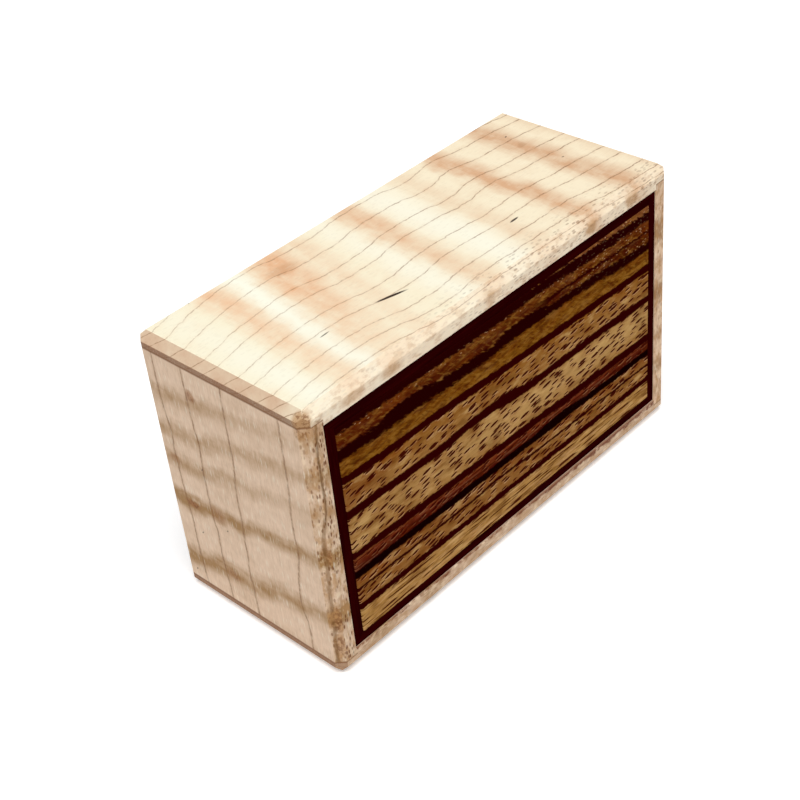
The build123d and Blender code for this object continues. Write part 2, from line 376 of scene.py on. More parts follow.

# %% [markdown]
# ### Growth lines
#
# The rings of the tree lean into the board, so a line on the face goes on down the edge. Two curves
# may move the lines as they run, one at the rear and one at the front of the board.

# %% Growth lines
HAZE_REACH = 1.2
HAZE_STRENGTH = 0.10


def growth_lines(wood):
    """How dark the growth lines are at a point, and the soft haze beside them."""
    (along, across, inward), seed = wood.spot, wood.seed
    figure, share = wood.figure, wood.share
    drift = wood.noise((along / 22.0 + seed, across / 16.0, inward / 16.0), 2.0) - 0.5
    ring = across + inward * GRAIN_SLOPE + drift * 0.9 + wood.tremble * figure["wriggle"]
    if "sweeps" in figure:
        curves = [{"points": points} for points in figure["sweeps"]]
        rear, front = [wood.node("ShaderNodeFloatCurve", curve, {"Value": share}) - 0.5 for curve in curves]
        forward = (across / wood.width).rise(0.15, 0.95)
        ring = ring - (rear * (1 - forward) + front * forward) * SWEEP_SPAN
    gap = figure_lines(ring, share, figure["lines"])
    thickness = figure["line_width"]
    line = gap.rise(thickness, thickness * 0.25) * (wood.broken.rise(0.28, 0.66) * 0.85 + 0.15)
    first, last = figure["line_strength"]
    line = line * (share * (last - first) + first + wood.on_end * 0.3)
    return line, gap.rise(HAZE_REACH, 0.0) * HAZE_STRENGTH

# %% [markdown]
# ### Curl
#
# The curl is a mix of two tones, pale and tan: mostly tan in the bands, with a little of it in faint clouds
# between them and in the fine texture. The brightest places of the top board are lighter still.

# %% Curl
CLOUD_STRENGTH = 0.20


def curled_wood(wood, tones, haze):
    """The wood's own colour, pale between the curl bands and tan in them."""
    (along, across, inward), seed = wood.spot, wood.seed
    figure, on_edge = wood.figure, wood.on_edge
    slow = wood.noise((along / 11.0 + seed, across / 8.0, inward / 8.0), 2.0) - 0.5
    shaken = along + wood.ragged * 2.4 + slow * 4.0
    curl = figure_bands(shaken, across, wood.width, figure["bands"])
    curl = curl * (1.0 + wood.ragged * 0.8 + wood.mottle * 1.3 + on_edge * figure["edge_curl"])
    cloud = wood.noise((along / 7.0 + seed, across / 12.0, inward / 12.0), 3.0, 0.5)
    grainy = (wood.fibre - 0.5) + (wood.blotch - 0.5) * 0.9
    tan_share = curl.most(cloud.rise(0.45, 0.80) * CLOUD_STRENGTH) + haze
    tan_share = tan_share + grainy * figure["texture"] + figure["veil"]

    pale = wood.mix(wood.share, tones[0], tones[2])
    pale = wood.mix(on_edge * figure["blush"], pale, MAPLE_BLUSH)
    tan = wood.mix(wood.share, tones[1], tones[3])
    colour = wood.mix((tan_share + on_edge * figure["edge"]).least(1.0), pale, tan)
    if "lights" in figure:
        light = figure_bands(shaken, across, wood.width, figure["lights"])
        colour = wood.mix(light * (1.0 - curl.least(1.0)) * (1.0 - on_edge * 0.8), colour, MAPLE_LIGHT)
    return colour

# %% [markdown]
# ### Ends, arrises, rays and flecks
#
# End grain drinks the oil and turns browner than the face, and handling darkens the arrises. On the narrow
# edges the rays are cut across and show as brown and cream flecks. Each fleck is a cell of a stretched
# Voronoi pattern, and the cell's own random number decides whether it shows.

# %% Ends, arrises, rays and flecks
FLECK_CELL = (1.25, 0.56, 0.42)


def cut_ends(wood, colour):
    """The wood where it is cut across: browner on the ends and along the arrises."""
    near_front = wood.spot[1].rise(wood.width - 8.0, wood.width - 2.5) * wood.figure["blush"]
    browned = wood.on_end * (wood.mottle * 0.9 + 0.88) * (1.0 - near_front * 0.5)
    colour = wood.mix(browned, colour, MAPLE_END)
    colour = wood.mix((wood.end_face + wood.edge_face).rise(1.25, 1.4) * 0.5, colour, MAPLE_BROWN)
    return wood.mix(wood.end_face.rise(0.80, 0.98) * (wood.fibre * 0.5 + 0.44), colour, MAPLE_BAND)


def flecked(wood, colour):
    """Rays on the faces, smears and flecks on the edges, and the brown flecks for the relief."""
    (along, across, inward), seed = wood.spot, wood.seed
    figure, on_edge, blotch = wood.figure, wood.on_edge, wood.blotch
    gap, luck = wood.scatter((along / 2.6 + seed, across / 0.30, inward / 0.6))
    ray = gap.rise(0.46, 0.16) * luck.rise(0.50, 0.85)
    colour = wood.mix(ray * figure["rays"], colour, MAPLE_LIGHT)

    smear = wood.noise((along / 5.0 + seed, across / 3.0, inward * 1.1 + along * 0.25), 3.0).rise(0.50, 0.74)
    colour = wood.mix(smear * on_edge * figure["smears"], colour, MAPLE_UMBER)
    colour = wood.mix(blotch.rise(0.50, 0.64) * on_edge * figure["blotches"], colour, MAPLE_SMUDGE)

    gap, luck = wood.scatter((along / FLECK_CELL[0], across / FLECK_CELL[1] + seed, inward / FLECK_CELL[2]))
    fleck = gap.rise(0.52, 0.26)
    pale_fleck = (fleck * luck.rise(0.78, 0.90) * 0.30).most(blotch.rise(0.47, 0.34) * 0.36)
    colour = wood.mix(pale_fleck * on_edge, colour, MAPLE_CREAM)

    patch = wood.noise((along / 5.0, across / 2.0 + seed, inward / 2.0), 2.0).rise(0.30, 0.62)
    zone = across.rise(wood.width - 7.0, wood.width - 1.0) * along.rise(20.0, 60.0)
    zone = (zone * figure.get("front_specks", 0.0)).most(on_edge * figure["flecks"]) * (patch * 0.7 + 0.3)
    brown_fleck = fleck * luck.rise(0.62, 0.46) * (zone + 0.04)
    return wood.mix(brown_fleck, colour, MAPLE_FLECK), brown_fleck

# %% [markdown]
# ### Stains, streaks and knocks
#
# Wear is set out like the lines. Stains are soft brown ellipses with darker grains in the middle.
# Knocks are small balls of wear, so they darken all the faces that meet at a corner. The bottom board has a
# band of painted shade along the top of its front face, under the mouth, and mineral streaks are short
# strokes of near black.

# %% Stains, streaks and knocks
BOARD_INSIDE = 1000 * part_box("bottom_board")[1].z


def stained(wood, colour):
    """Adds the stains of the face and of the edge, and the streak that runs down the edge."""
    (along, across, inward), figure = wood.spot, wood.figure
    on_edge, speckle = wood.on_edge, wood.speckle
    if "stains" in figure:
        stain = figure_marks(along + wood.ragged * 1.2, across + wood.tremble * 2.2, figure["stains"])
        colour = wood.mix(stain * (wood.fibre * 0.8 + 0.6), colour, MAPLE_UMBER)
        colour = wood.mix(stain * stain * speckle.rise(0.48, 0.60) * figure["knots"], colour, MAPLE_CORE)
    if "edge_stains" in figure:
        stain = figure_marks(along + wood.ragged * 2.4, inward + wood.mottle * 1.6, figure["edge_stains"])
        core = stain * stain * on_edge * speckle.rise(0.40, 0.56)
        colour = wood.mix(stain * on_edge * 0.95, colour, MAPLE_SMUDGE)
        colour = wood.mix(core, colour, figure["stain_core"])
    if "edge_streak" in figure:
        curve = {"points": figure["edge_streak"]}
        course = wood.node("ShaderNodeFloatCurve", curve, {"Value": wood.share})
        streak = abs(inward - (course - 0.5) * SWEEP_SPAN - 1.5 - wood.tremble * 0.6).rise(0.40, 0.10)
        colour = wood.mix(streak * (wood.broken * 1.1 + 0.20) * on_edge, colour, MAPLE_STREAK)
    return colour


def worn(wood, colour):
    """Adds the knocks at the corners, painted shade under the mouth and the mineral streaks."""
    (along, across, inward), figure = wood.spot, wood.figure
    for a, c, i, reach, strength in figure.get("knocks", ()):
        off = [along - a + wood.ragged * 0.8, across - c, inward - i + wood.mottle * 1.2]
        knock = functools.reduce(Signal.__add__, [o / reach * (o / reach) for o in off]).rise(1.0, 0.25)
        colour = wood.mix(knock * strength, colour, MAPLE_SMUDGE)
        colour = wood.mix(knock * wood.speckle.rise(0.50, 0.62) * strength, colour, MAPLE_BROWN)
    # painted shade: a dark band along the top of the bottom board's front face, under the mouth, stands in
    # for the shaded ledge there
    if "lip_shade" in figure:
        first, last = figure["lip_shade"]
        reach = wood.share.rise(0.36, 0.50) * (last - first) + first
        painted_lip_shading = inward + (wood.blotch - 0.5) * 2.4 + (wood.speckle - 0.5) * 1.6 + reach - BOARD_INSIDE
        colour = wood.mix(painted_lip_shading.rise(-0.35, 0.35) * wood.on_edge * 0.94, colour, MAPLE_SHADE)
    if "marks" in figure:
        marks = figure_marks(along, across + wood.tremble * 0.25, figure["marks"])
        colour = wood.mix(marks, colour, MAPLE_DARK)
    return colour


print("inside of the bottom board, mm:", round(BOARD_INSIDE, 2))

# %% [markdown]
# ### The whole maple finish
#
# A joint between two boards is a brown hairline. The last step lays everything together in the order in
# which it came about: the wood, its cut faces, its flecks and lines, then stains, wear and joints.

# %% The whole maple finish
JOINT_REACH = 0.34
LAP_REACH = 0.36
HAIRLINE = 0.08


def jointed(wood, colour):
    """Adds the hairlines where this board meets its neighbours."""
    for place in wood.figure.get("joints", ()):
        colour = wood.mix(abs(wood.spot[0] - place).rise(JOINT_REACH, HAIRLINE) * 0.75, colour, MAPLE_BROWN)
    for place in wood.figure.get("laps", ()):
        lap = abs(wood.spot[2] - place).rise(LAP_REACH, HAIRLINE) * wood.on_end * 0.8
        colour = wood.mix(lap, colour, MAPLE_BROWN)
    return colour


def maple(name, grain, size, tones, figure, seed=0.0):
    """Curly maple for a board of a size in millimetres, along its grain and across it."""
    wood = Board(name, grain, size, figure, seed)
    line, haze = growth_lines(wood)
    colour = cut_ends(wood, curled_wood(wood, tones, haze))
    colour, brown_fleck = flecked(wood, colour)
    colour = wood.mix(line, colour, MAPLE_BROWN)
    colour = jointed(wood, worn(wood, stained(wood, colour)))
    relief = wood.fibre * 0.6 - line * 0.4 - brown_fleck * 0.3
    return wood.surface(colour, 0.46 + wood.fibre * 0.12, relief, 0.012, Specular_IOR_Level=0.18)

# %% [markdown]
# ## The four boards of the sleeve
#
# Every direction below is an axis of the box, the way it runs and where it starts, so that along, across
# and inward count in millimetres from a corner of the board. The end boards have upright grain. The bottom
# and right boards reuse the figures of the top and left ones, turned end for end.

# %% Directions of the boards
BOX_LENGTH = 1000 * (box_high.x - box_low.x)
BOX_DEPTH = 1000 * (box_high.y - box_low.y)
BOX_HEIGHT = 1000 * (box_high.z - box_low.z)
HALF_LENGTH = BOX_LENGTH / 2
HALF_DEPTH = BOX_DEPTH / 2
X, Y, Z = 0, 1, 2
END_BOARD_LOW = 1000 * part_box("left_end_board")[0].z
END_JOINTS = (END_BOARD_LOW, BOX_HEIGHT - END_BOARD_LOW)

top_grain = ((X, 1, HALF_LENGTH), (Y, -1, HALF_DEPTH), (Z, -1, BOX_HEIGHT))
bottom_grain = ((X, -1, HALF_LENGTH), (Y, -1, HALF_DEPTH), (Z, 1, 0.0))
left_grain = ((Z, -1, BOX_HEIGHT), (Y, -1, HALF_DEPTH), (X, 1, HALF_LENGTH))
right_grain = ((Z, 1, 0.0), (Y, -1, HALF_DEPTH), (X, -1, HALF_LENGTH))
plank = (BOX_LENGTH, BOX_DEPTH)
upright = (BOX_HEIGHT, BOX_DEPTH)
print("joints of the end boards, mm:", [round(joint, 2) for joint in END_JOINTS])

# %% [markdown]
# ### Their growth lines and curl
#
# The top board is seen most, so its figure is set out line by line. Its growth lines lie 4 to 6 mm apart,
# sweep up at the left end and dip towards the right, more at the rear than at the front. A line is its
# place across the board where the grain starts and where it ends. A point of a sweep is its place along the
# board and how far the lines move there. A curl band is its place along the grain at the rear and at the
# front, its reach to each side, and its strength at the rear and at the front.

# %% Growth lines and curl of the sleeve
def sweep_points(length, pairs):
    """A curve's points from places in millimetres: share of the length, and height about a half."""
    return [(place / length, 0.5 + lift / SWEEP_SPAN) for place, lift in pairs]


top_lines = [(middle, middle) for middle in (-0.7, 2.9, 8.4, 14.6, 18.7, 25.0, 29.4, 34.8, 38.6, 42.3)]
top_rear_sweep = sweep_points(BOX_LENGTH, [
    (0.0, 4.7), (6.0, 2.7), (13.6, 0.8), (25.7, -0.2), (32.0, 1.0), (40.0, 1.2), (50.0, 0.0),
    (60.0, 0.4), (65.7, 1.7), (75.0, 0.5), (80.7, 1.7), (89.3, 2.3), (BOX_LENGTH, 3.9),
])
top_front_sweep = sweep_points(BOX_LENGTH, [
    (0.0, -0.3), (6.0, -1.4), (13.6, -2.1), (22.9, -1.9), (28.6, -0.8), (38.6, 0.9), (50.0, 0.0),
    (60.7, 0.2), (71.4, 0.6), (78.6, 0.8), (85.7, 1.9), (BOX_LENGTH, 3.2),
])
top_sweeps = (top_rear_sweep, top_front_sweep)
end_lines = [(4.2, 6.7), (12.3, 13.8), (22.5, 20.8), (36.4, 35.6)]
end_rear_sweep = sweep_points(BOX_HEIGHT, [
    (0.0, 0.0), (16.7, -0.3), (19.2, 0.1), (26.0, -0.5), (36.0, -0.5), (41.7, -0.1), (46.7, -0.4),
    (60.5, 0.0),
])
end_front_sweep = sweep_points(BOX_HEIGHT, [
    (0.0, 0.0), (16.7, 0.45), (21.7, 0.1), (27.5, -0.2), (32.5, 0.3), (39.2, -0.7), (46.7, -1.1),
    (50.8, -0.1), (60.5, 0.0),
])
end_sweeps = (end_rear_sweep, end_front_sweep)
top_bands = [
    (15.8, 13.4, 2.9, 0.66, 0.40),
    (30.0, 22.6, 4.4, 0.90, 0.34),
    (37.5, 31.0, 2.4, 0.36, 0.26),
    (51.0, 48.6, 2.9, 0.74, 0.44),
    (66.6, 64.3, 2.4, 0.28, 0.34),
    (76.8, 77.2, 2.5, 0.92, 0.84),
    (90.5, 91.2, 3.0, 0.86, 0.84),
    (101.0, 101.0, 2.6, 0.36, 0.36),
]
top_lights = [
    (21.6, 17.4, 2.2, 0.9, 0.8),
    (44.5, 43.5, 2.6, 0.4, 0.6),
    (59.0, 57.5, 3.4, 0.6, 0.7),
    (6.5, 6.0, 2.6, 0.2, 0.7),
]
end_bands = [
    (11.9, 6.9, 1.8, 0.56, 0.26),
    (20.4, 13.7, 1.7, 0.58, 0.40),
    (27.3, 21.8, 1.7, 0.62, 0.24),
    (37.4, 32.2, 1.8, 0.98, 0.70),
    (51.6, 46.2, 2.2, 0.90, 0.66),
    (59.8, 57.0, 1.2, 0.30, 0.22),
]
print("on the top:", len(top_lines), "growth lines and", len(top_bands), "curl bands")

# %% [markdown]
# ### Their stains and marks
#
# A stain or a mark is a row too: its place along and across the board, its half length and half width, its
# turn in degrees, its strength and how soft its rim is. On an edge the second place counts inward from the
# face instead. A knock is a place along, across and inward, then a reach and a strength.

# %% Stains and marks of the sleeve
top_stains = [(29.4, 7.8, 4.2, 2.0, 4.0, 0.22, 0.95), (91.0, 14.2, 1.5, 1.3, 0.0, 0.30, 0.95)]
top_marks = [
    (34.6, 30.4, 4.0, 0.40, 15.6, 1.0, 0.75),
    (67.3, 31.7, 1.5, 0.32, -3.0, 0.95, 0.75),
    (19.1, 29.1, 1.4, 0.20, -2.0, 0.75, 0.80),
    (92.0, 9.2, 0.45, 0.22, -20.0, 0.75, 0.70),
    (91.8, 24.2, 0.40, 0.20, 10.0, 0.70, 0.70),
    (11.6, 1.8, 0.30, 0.16, 0.0, 0.60, 0.70),
]
top_edge_stains = [
    (11.3, 2.7, 3.6, 1.5, 0.0, 0.42, 0.95),
    (20.8, 2.8, 3.6, 1.5, 0.0, 0.42, 0.95),
    (46.8, 2.2, 1.8, 1.9, 0.0, 0.40, 0.95),
    (76.3, 2.6, 2.4, 1.8, 0.0, 0.62, 0.95),
    (89.0, 2.4, 2.8, 1.7, 0.0, 0.60, 0.95),
]
end_stains = [
    (36.8, 7.0, 1.2, 2.6, 0.0, 0.90, 0.95),
    (8.9, 13.2, 1.7, 1.6, 0.0, 0.66, 0.95),
    (36.0, 14.4, 2.4, 2.8, 0.0, 0.44, 0.95),
    (27.0, 4.4, 1.3, 2.2, 0.0, 0.38, 0.95),
    (50.4, 15.4, 1.7, 2.7, 0.0, 0.54, 0.95),
]
end_marks = [
    (38.8, 16.2, 0.22, 0.34, 40.0, 0.65, 0.7),
    (43.4, 8.2, 0.20, 0.40, 50.0, 0.65, 0.7),
    (26.0, 12.2, 0.20, 0.45, 60.0, 0.50, 0.7),
    (55.3, 3.6, 0.20, 0.40, 60.0, 0.60, 0.7),
]
left_edge_stains = [
    (46.8, 1.2, 3.8, 1.20, 0.0, 1.00, 0.90),
    (53.4, 0.9, 4.4, 1.00, 0.0, 0.90, 0.92),
    (31.2, 1.3, 2.8, 0.90, 0.0, 0.82, 0.95),
    (38.5, 0.8, 4.0, 0.70, 0.0, 0.46, 0.95),
    (5.0, 1.0, 2.6, 1.20, 0.0, 0.30, 0.95),
    (20.6, 2.8, 3.2, 1.20, 0.0, 0.26, 0.95),
]
top_knocks = [(1.0, 41.6, 1.9, 2.1, 0.70), (3.0, 42.9, 3.4, 1.6, 0.50)]
left_knocks = [(3.8, 41.9, 0.6, 2.2, 0.46), (4.2, 42.9, 3.0, 1.6, 0.44), (45.8, 42.2, 1.0, 1.6, 0.60)]
left_edge_streak = sweep_points(BOX_HEIGHT, [
    (3.0, 1.2), (10.0, 0.7), (20.5, 0.65), (24.0, 0.1), (28.0, -0.4), (34.5, -0.5), (45.5, -0.8),
    (55.0, -0.9),
])
print("stains:", len(top_stains + top_edge_stains), "on the top,", len(end_stains), "on an end")

# %% [markdown]
# ### Their figures
#
# A figure gathers the lists of one board and a few strengths. Wriggle is how far the growth lines tremble,
# veil tans the whole board a little, and edge and edge_curl say how much more tan the narrow edge is and
# how much stronger its curl. Blush, flecks, smears and blotches belong to that edge too. Knots is how dark
# the grains in a stain are, laps and joints are where a neighbour meets the board, and lip_shade is how
# deep the painted shade under the mouth goes at the left and at the right.

# %% Figures and finishes of the sleeve
lying = {
    "lines": top_lines, "sweeps": top_sweeps, "line_width": 0.22, "bands": top_bands,
    "laps": (END_BOARD_LOW,),
}
standing = {
    "lines": end_lines, "sweeps": end_sweeps, "wriggle": 0.6, "bands": end_bands, "stains": end_stains,
    "blush": 0.0, "joints": END_JOINTS,
}
top_figure = {
    **lying, "line_strength": (0.42, 0.82), "wriggle": 1.1, "lights": top_lights, "texture": 0.26,
    "veil": 0.0, "rays": 0.10, "edge": 0.16, "edge_curl": -0.5, "blush": 0.80, "flecks": 0.12,
    "smears": 0.16, "blotches": 0.34, "stains": top_stains, "knots": 0.0, "edge_stains": top_edge_stains,
    "stain_core": MAPLE_SMUDGE, "marks": top_marks, "knocks": top_knocks, "front_specks": 0.42,
}
bottom_figure = {
    **lying, "line_strength": (0.6, 0.6), "wriggle": 0.9, "texture": 0.40, "veil": 0.11, "rays": 0.14,
    "edge": 0.30, "edge_curl": -0.6, "blush": 0.0, "flecks": 0.20, "smears": 0.20, "blotches": 0.44,
    "lip_shade": (0.85, 0.25),
}
left_figure = {
    **standing, "line_width": 0.36, "line_strength": (0.72, 0.72), "texture": 0.60, "veil": 0.11,
    "rays": 0.34, "edge": 0.20, "edge_curl": 0.5, "flecks": 0.90, "smears": 0.34, "blotches": 0.60,
    "knots": 1.0, "edge_stains": left_edge_stains, "stain_core": MAPLE_CORE, "marks": end_marks,
    "edge_streak": left_edge_streak, "knocks": left_knocks,
}
right_figure = {
    **standing, "line_width": 0.32, "line_strength": (0.68, 0.68), "texture": 0.46, "veil": 0.0,
    "rays": 0.26, "edge": 0.16, "edge_curl": 0.7, "flecks": 0.35, "smears": 0.30, "blotches": 0.70,
    "knots": 0.6,
}
finishes = {
    "top_board": maple("Maple_top", top_grain, plank, TOP_TONES, top_figure),
    "bottom_board": maple("Maple_bottom", bottom_grain, plank, END_TONES, bottom_figure, 3.0),
    "left_end_board": maple("Maple_left_end", left_grain, upright, END_TONES, left_figure, 5.0),
    "right_end_board": maple("Maple_right_end", right_grain, upright, RIGHT_TONES, right_figure, 8.0),
}
print("sleeve boards:", len(finishes))

# %% [markdown]
# ## The plain maple inside
#
# The drawer, the lock block and the rear board are of plainer maple, with evenly spaced lines and a faint
# curl. Each has its grain along its own length.

# %% Plain boards
plain_starts = (-9.0, -4.2, 1.5, 6.0, 12.2, 17.1, 23.4, 28.0, 34.6, 39.2, 46.0, 52.4)
plain_lines = [(place, place + 0.8) for place in plain_starts]
plain_places = (8.0, 21.0, 33.0, 47.0, 58.0, 72.0, 85.0, 96.0)
plain_bands = [(place, place + 3.0, 2.2, 0.28, 0.18) for place in plain_places]
plain_figure = {
    "lines": plain_lines, "line_width": 0.24, "line_strength": (0.5, 0.5), "wriggle": 0.7,
    "bands": plain_bands, "texture": 0.26, "veil": 0.11, "rays": 0.10,
    "edge": 0.06, "edge_curl": 0.0, "blush": 0.0, "flecks": 0.20, "smears": 0.10, "blotches": 0.0,
}


def plain_maple(name, along, across, inward, seed):
    """Plainer maple, with the three axes of its grain."""
    start = HALF_DEPTH if across == Y else 0.0
    grain = ((along, 1, HALF_LENGTH), (across, 1, start), (inward, 1, seed * 3.0))
    return maple(name, grain, plank, END_TONES, plain_figure, seed)


finishes.update({
    "drawer_front_board": plain_maple("Maple_drawer_front", X, Z, Y, 2.0),
    "drawer_back": plain_maple("Maple_drawer_back", X, Z, Y, 4.0),
    "drawer_left_side": plain_maple("Maple_drawer_left", Y, Z, X, 6.0),
    "drawer_right_side": plain_maple("Maple_drawer_right", Y, Z, X, 7.0),
    "drawer_bottom": plain_maple("Maple_drawer_bottom", X, Y, Z, 9.0),
    "lock_block": plain_maple("Maple_lock_block", X, Z, Y, 11.0),
    "rear_board": plain_maple("Maple_rear_board", X, Z, Y, 12.0),
    "bore_plug": plain_maple("Maple_bore_plug", X, Z, Y, 13.0),
    "stop_peg": plain_maple("Maple_stop_peg", Z, X, Y, 14.0),
})
print("pieces with maple:", len(finishes))

# %% [markdown]
# ## Zebrawood
#
# Zebrawood is tan wood with near-black layers, which run along the box here and tilt a little. Open pores,
# 2 to 3 mm long, lie in the tan wood like short pen strokes. The tan changes from layer to layer: amber at
# the top, pale and full of pores in the middle, red beside the blackest line, and quiet with long streaks
# at the bottom.
#
# Each dark layer is a row of numbers: its height at the left and right edges of the panel, its half
# thickness there, how soft its borders are, how black its heart is, and the share of the panel's length
# where it begins, if it doesn't run all through. A few local pushes bend the layers, and swells make them
# thicker. Dusks and glades are places where the tan wood is redder or paler.

# %% Zebrawood layers
PANEL_LEFT = 6.6
PANEL_RIGHT = 95.0

zebra_layers = [
    (54.60, 51.62, 1.95, 0.96, 0.28, 0.40, None),
    (50.50, 48.15, 1.05, 0.28, 0.26, 0.0, 0.60),
    (48.05, 44.75, 1.22, 0.90, 0.34, 0.50, None),
    (42.50, 39.65, 0.88, 0.86, 0.16, 0.0, None),
    (34.85, 32.15, 0.98, 0.90, 0.18, 0.0, None),
    (25.30, 22.50, 0.88, 0.94, 0.16, 0.0, None),
    (20.75, 18.75, 0.88, 0.72, 0.18, 1.0, None),
    (17.25, 15.55, 0.29, 0.30, 0.16, 0.0, None),
    (12.95, 11.85, 0.74, 0.72, 0.14, 0.0, None),
    (6.25, 5.30, 0.80, 0.45, 0.20, 0.0, None),
]
# pushes, swells, dusks and glades: place along the box, height, reach along and up, strength
zebra_pushes = [
    (44.0, 35.0, 13.0, 4.0, 0.85),
    (56.0, 33.8, 9.0, 4.0, -0.25),
    (80.0, 33.6, 9.0, 3.0, 0.25),
    (66.0, 46.2, 26.0, 3.4, 0.80),
    (25.0, 47.6, 9.0, 2.6, 0.30),
    (62.0, 52.0, 11.0, 1.8, 0.50),
    (32.0, 42.0, 14.0, 2.4, 0.25),
    (48.0, 17.0, 10.0, 1.6, 0.45),
]
zebra_swells = [
    (24.5, 49.6, 9.0, 2.2, 1.50),
    (55.0, 48.6, 10.0, 2.2, 1.60),
    (38.0, 48.2, 9.0, 1.8, 0.60),
    (66.0, 20.9, 9.0, 2.0, 0.60),
    (50.0, 34.2, 5.0, 2.4, 0.30),
]
zebra_dusks = [
    (7.0, 51.2, 24.0, 2.6, 0.16),
    (7.0, 38.8, 15.0, 3.4, 0.30),
    (96.0, 50.0, 12.0, 2.6, 0.20),
]
zebra_glades = [(70.0, 28.6, 46.0, 4.6, 0.30)]
# height in the straightened panel, and the red, green and blue of the tan wood there
zebra_tans = [
    (4.0, 176, 130, 70),
    (11.0, 184, 138, 76),
    (13.0, 152, 104, 54),
    (16.6, 150, 102, 50),
    (19.0, 142, 90, 42),
    (21.3, 70, 14, 8),
    (22.6, 80, 20, 10),
    (24.0, 116, 46, 22),
    (25.6, 168, 122, 66),
    (31.0, 180, 137, 80),
    (34.4, 172, 126, 70),
    (38.0, 162, 114, 58),
    (41.6, 148, 96, 38),
    (43.2, 134, 86, 22),
    (47.0, 120, 70, 12),
    (49.4, 72, 20, 5),
    (50.9, 86, 32, 7),
    (52.6, 108, 54, 14),
    (55.0, 132, 80, 44),
]
print("dark layers:", len(zebra_layers))

# %% [markdown]
# The panel at the rear is the same wood cut from the other face of the blank, so its layers are turned
# upside down. The pattern runs through the thickness of a panel too, where its layers lean a little.
#
# A point's level is its height, shaken by noises and moved by the pushes. Sway bends whole layers, shake
# and nibble roughen their borders, and the teeth are slanted strokes in the amber wood. Straight is the
# level with the tilt of the layers taken out, so one height in it is one kind of tan all along. A dark
# layer is where the level is close to the layer's own height.

# %% Zebrawood panel
ZEBRA_LEAN = 0.12
TEETH_TURN = math.radians(-31.0)


def local_bumps(along, height, bumps):
    """The sum of a few smooth local bumps, each with its place, its reach and its size."""
    found = []
    for a, h, reach_along, reach_up, size in bumps:
        off_along = (along - a) / reach_along
        off_up = (height - h) / reach_up
        found.append((off_along * off_along + off_up * off_up).rise(1.0, 0.0) * size)
    return functools.reduce(Signal.__add__, found)


class Panel(Finish):
    """A striped panel with its layers along X. sideways is -1 for a panel that is read from behind."""

    def __init__(self, name, sideways, upside_down, seed):
        super().__init__(name)
        x, y, z = self.axes(self.place)
        along = x * sideways + HALF_LENGTH
        height = BOX_HEIGHT - z if upside_down else z
        depth = y * sideways + HALF_DEPTH
        self.spot, self.seed = (along, height, depth), seed
        self.share = (along - PANEL_LEFT) / (PANEL_RIGHT - PANEL_LEFT)
        self.fibre = self.noise((along / 6.0, depth * 2.2, height * 3.4 + seed), 4.0, 0.65)
        self.cloud = self.noise((along / 6.0 + seed, depth / 5.0, height / 2.2), 3.0, 0.55)
        self.nibble = self.noise((along / 1.0, depth / 2.0, height / 0.45 + seed), 3.0, 0.65) - 0.5
        slant = along * math.cos(TEETH_TURN) + height * math.sin(TEETH_TURN)
        rung = height * math.cos(TEETH_TURN) - along * math.sin(TEETH_TURN)
        self.teeth = self.noise((slant / 2.0, depth / 3.0, rung / 0.55 + seed), 3.0, 0.55) - 0.5

        sway = self.noise((along / 24.0 + seed, depth / 20.0, height / 6.0), 2.0) - 0.5
        shake = self.noise((along / 5.0, depth / 6.0, height / 1.8 + seed), 3.0, 0.55) - 0.5
        level = height + depth * ZEBRA_LEAN + sway * 0.35 + shake * 0.9 + self.nibble * 0.9
        level = level + self.teeth * height.rise(42.0, 47.0) * 2.2
        self.level = level - local_bumps(along, height, zebra_pushes)
        self.straight = self.level + self.share * self.level.rise(8.0, 26.0) * 2.55 + self.share * 0.35
        self.quiet = self.straight.rise(12.4, 11.2)
        self.red = self.straight.rise(20.6, 21.6) * self.straight.rise(25.4, 24.4)
        self.upper = self.straight.rise(42.0, 44.0)


def dark_layers(wood):
    """How dark the layers are at a point, and how black."""
    share = wood.share
    swell = local_bumps(*wood.spot[:2], zebra_swells)
    dark, black = [], []
    for left, right, half_left, half_right, softness, blackness, begins in zebra_layers:
        centre = share * (right - left) + left
        half = share * (half_right - half_left) + half_left
        layer = (abs(wood.level - centre) - half - swell).rise(softness, -softness)
        if begins is not None:
            layer = layer * share.rise(begins - 0.05, begins + 0.05)
        dark.append(layer)
        if blackness:
            black.append(layer * blackness)
    return [functools.reduce(Signal.most, layers) for layers in (dark, black)]


print("layers with a black heart:", sum(1 for layer in zebra_layers if layer[5]))

# %% [markdown]
# ### The tan wood
#
# A ramp gives the tan wood its colour at each height, and soft clouds lighten and darken it. The amber
# layers at the top have golden glints and dark slanted strokes along the teeth.

# %% Tan wood
ZEBRA_PALE = shade(216, 176, 114)
ZEBRA_GOLD = shade(166, 118, 48)
ZEBRA_ORANGE = shade(138, 66, 12)
ZEBRA_OLIVE = shade(104, 62, 14)
ZEBRA_DUSK = shade(104, 26, 2)
ZEBRA_FIBRE = shade(84, 32, 8)
ZEBRA_TOOTH = shade(66, 12, 4)
ZEBRA_WINE = shade(64, 16, 4)


